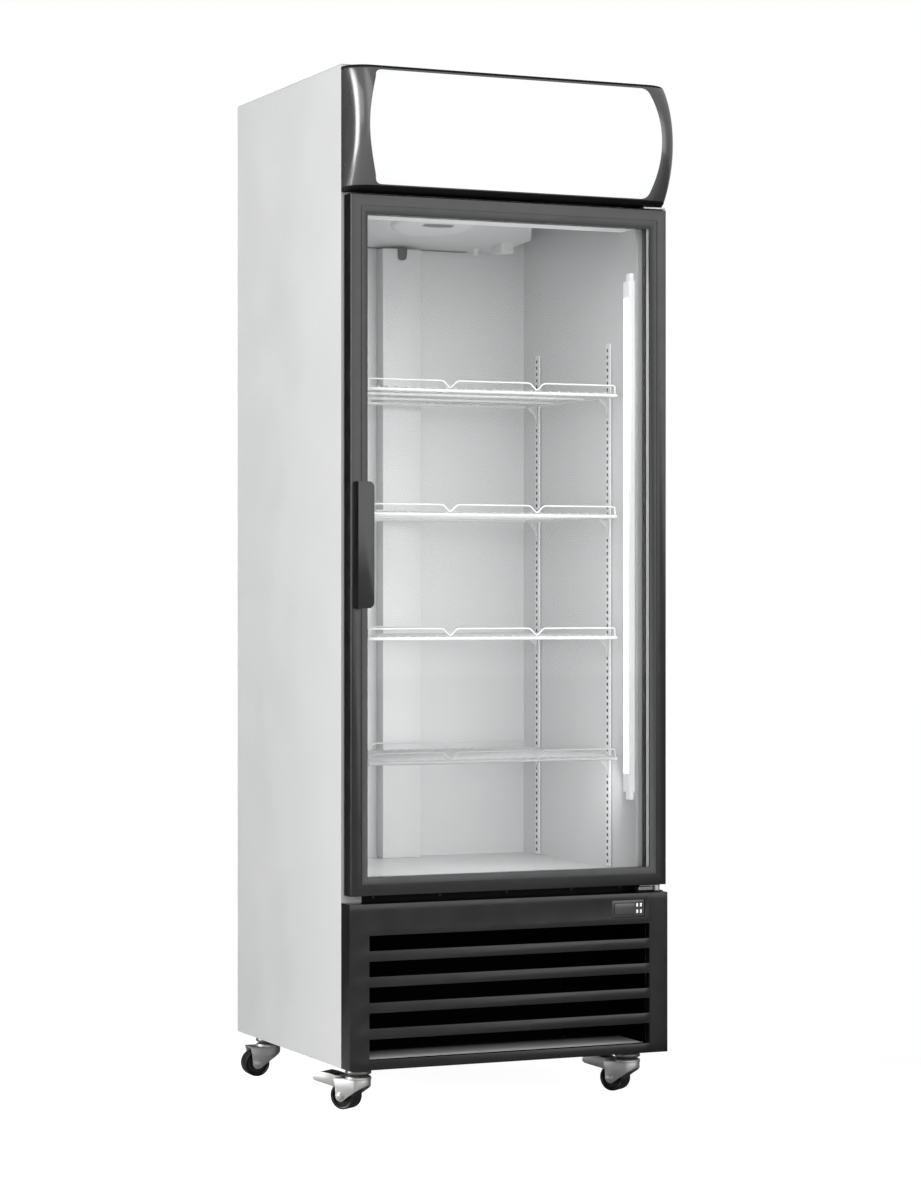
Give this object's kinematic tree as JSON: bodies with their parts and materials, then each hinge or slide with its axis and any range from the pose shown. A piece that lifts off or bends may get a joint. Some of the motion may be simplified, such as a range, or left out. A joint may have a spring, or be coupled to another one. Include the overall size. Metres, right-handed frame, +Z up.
{
  "type": "glass door merchandiser",
  "caption": "Upright refrigerated display cabinet with a hinged glass door, wire shelves, a bowed lit header, a louvred lower grille and swivel casters.",
  "frame": {"origin": "on the floor, under the middle of the footprint: the cabinet's centre plane, half way between the header's front and the back panel", "axes": "+Z up, -Y to the front (the door), +X to the right as seen from the front"},
  "size_m": [0.6663, 0.654, 1.923],
  "materials": {
    "casing_white": "satin",
    "liner_white": "satin",
    "insulation_foam": "matte",
    "trim_black": "satin",
    "sign_white": "gloss",
    "lamp_white": "satin",
    "galvanised_steel": "satin",
    "machine_black": "satin",
    "fin_aluminium": "satin",
    "standard_white": "satin",
    "wire_white": "gloss",
    "key_white": "satin",
    "door_glass": "polished",
    "spacer_aluminium": "satin",
    "gasket_grey": "matte",
    "zinc_steel": "satin",
    "wheel_rubber": "satin"
  },
  "bodies": {
    "cabinet": {"left_side_panel": "casing_white", "right_side_panel": "casing_white", "top_panel": "casing_white", "back_panel": "casing_white", "rear_vent_panel": "casing_white", "inner_liner": "liner_white", "evaporator_cover": "liner_white", "rear_air_duct": "liner_white", "foam_insulation": "insulation_foam", "front_sill": "trim_black", "header_housing": "trim_black", "lower_grille": "trim_black", "controller": "trim_black", "header_sign": "sign_white", "header_lamp": "lamp_white", "interior_lamp": "lamp_white", "base_chassis": "galvanised_steel", "compressor": "machine_black", "condenser_coil": "machine_black", "condenser_fan_shroud": "machine_black", "condensate_tray": "machine_black", "electrical_box": "machine_black", "evaporator_fan_motor": "machine_black", "evaporator_coil": "fin_aluminium", "standard_front_left": "standard_white", "standard_front_right": "standard_white", "standard_rear_left": "standard_white", "standard_rear_right": "standard_white", "top_hinge_bracket": "zinc_steel", "bottom_hinge_bracket": "zinc_steel", "caster_plate_front_left": "zinc_steel", "caster_plate_front_right": "zinc_steel", "caster_plate_rear_left": "zinc_steel", "caster_plate_rear_right": "zinc_steel"},
    "door": {"door_frame": "trim_black", "outer_glass": "door_glass", "glass_spacer": "spacer_aluminium", "inner_glass": "door_glass", "door_gasket": "gasket_grey", "door_handle": "trim_black"},
    "shelf_1": {"shelf_1": "wire_white"},
    "shelf_2": {"shelf_2": "wire_white"},
    "shelf_3": {"shelf_3": "wire_white"},
    "shelf_4": {"shelf_4": "wire_white"},
    "key_1": {"key_1": "key_white"},
    "key_2": {"key_2": "key_white"},
    "key_3": {"key_3": "key_white"},
    "key_4": {"key_4": "key_white"},
    "evaporator_fan": {"evaporator_fan": "fin_aluminium"},
    "condenser_fan": {"condenser_fan": "fin_aluminium"},
    "fork_front_left": {"caster_fork_front_left": "zinc_steel"},
    "wheel_front_left": {"caster_wheel_front_left": "wheel_rubber"},
    "pedal_front_left": {"brake_pedal_front_left": "zinc_steel"},
    "fork_front_right": {"caster_fork_front_right": "zinc_steel"},
    "wheel_front_right": {"caster_wheel_front_right": "wheel_rubber"},
    "pedal_front_right": {"brake_pedal_front_right": "zinc_steel"},
    "fork_rear_left": {"caster_fork_rear_left": "zinc_steel"},
    "wheel_rear_left": {"caster_wheel_rear_left": "wheel_rubber"},
    "fork_rear_right": {"caster_fork_rear_right": "zinc_steel"},
    "wheel_rear_right": {"caster_wheel_rear_right": "wheel_rubber"}
  },
  "joints": [
    {"name": "door_hinge", "type": "hinge", "parent": "cabinet", "child": "door", "pos_m": [0.312, -0.256, 1.041], "axis": [0, 0, 1], "range_deg": [0, 110], "stiffness_Nm_per_rad": 1.5, "springref_deg": -14.32},
    {"name": "shelf_1_lift", "type": "slide", "parent": "cabinet", "child": "shelf_1", "axis": [0, 0, 1], "range_m": [0, 0.05]},
    {"name": "shelf_2_lift", "type": "slide", "parent": "cabinet", "child": "shelf_2", "axis": [0, 0, 1], "range_m": [0, 0.05]},
    {"name": "shelf_3_lift", "type": "slide", "parent": "cabinet", "child": "shelf_3", "axis": [0, 0, 1], "range_m": [0, 0.05]},
    {"name": "shelf_4_lift", "type": "slide", "parent": "cabinet", "child": "shelf_4", "axis": [0, 0, 1], "range_m": [0, 0.05]},
    {"name": "key_1_press", "type": "slide", "parent": "cabinet", "child": "key_1", "axis": [0, 1, 0], "range_m": [0, 0.0008], "stiffness_N_per_m": 300, "springref_m": -0.0005},
    {"name": "key_2_press", "type": "slide", "parent": "cabinet", "child": "key_2", "axis": [0, 1, 0], "range_m": [0, 0.0008], "stiffness_N_per_m": 300, "springref_m": -0.0005},
    {"name": "key_3_press", "type": "slide", "parent": "cabinet", "child": "key_3", "axis": [0, 1, 0], "range_m": [0, 0.0008], "stiffness_N_per_m": 300, "springref_m": -0.0005},
    {"name": "key_4_press", "type": "slide", "parent": "cabinet", "child": "key_4", "axis": [0, 1, 0], "range_m": [0, 0.0008], "stiffness_N_per_m": 300, "springref_m": -0.0005},
    {"name": "evaporator_fan_spin", "type": "hinge", "parent": "cabinet", "child": "evaporator_fan", "pos_m": [-0.012, 0.103, 1.70044], "axis": [0, 0, 1], "continuous": true},
    {"name": "condenser_fan_spin", "type": "hinge", "parent": "cabinet", "child": "condenser_fan", "pos_m": [-0.052, -0.0617, 0.226], "axis": [0, 1, 0], "continuous": true},
    {"name": "swivel_front_left", "type": "hinge", "parent": "cabinet", "child": "fork_front_left", "pos_m": [-0.278, -0.1975, 0.06], "axis": [0, 0, 1], "continuous": true},
    {"name": "roll_front_left", "type": "hinge", "parent": "fork_front_left", "child": "wheel_front_left", "pos_m": [-0.2929, -0.17499, 0.0254], "axis": [-0.8339, -0.5519, 0], "continuous": true},
    {"name": "brake_front_left", "type": "hinge", "parent": "fork_front_left", "child": "pedal_front_left", "pos_m": [-0.29621, -0.16998, 0.0545], "axis": [-0.8339, -0.5519, 0], "range_deg": [0, 12]},
    {"name": "swivel_front_right", "type": "hinge", "parent": "cabinet", "child": "fork_front_right", "pos_m": [0.278, -0.1975, 0.06], "axis": [0, 0, 1], "continuous": true},
    {"name": "roll_front_right", "type": "hinge", "parent": "fork_front_right", "child": "wheel_front_right", "pos_m": [0.2631, -0.17499, 0.0254], "axis": [-0.8339, -0.5519, 0], "continuous": true},
    {"name": "brake_front_right", "type": "hinge", "parent": "fork_front_right", "child": "pedal_front_right", "pos_m": [0.25979, -0.16998, 0.0545], "axis": [-0.8339, -0.5519, 0], "range_deg": [0, 12]},
    {"name": "swivel_rear_left", "type": "hinge", "parent": "cabinet", "child": "fork_rear_left", "pos_m": [-0.278, 0.279, 0.06], "axis": [0, 0, 1], "continuous": true},
    {"name": "roll_rear_left", "type": "hinge", "parent": "fork_rear_left", "child": "wheel_rear_left", "pos_m": [-0.30496, 0.28041, 0.0254], "axis": [-0.0523, -0.9986, 0], "continuous": true},
    {"name": "swivel_rear_right", "type": "hinge", "parent": "cabinet", "child": "fork_rear_right", "pos_m": [0.278, 0.279, 0.06], "axis": [0, 0, 1], "continuous": true},
    {"name": "roll_rear_right", "type": "hinge", "parent": "fork_rear_right", "child": "wheel_rear_right", "pos_m": [0.25462, 0.2925, 0.0254], "axis": [-0.5, -0.866, 0], "continuous": true}
  ]
}
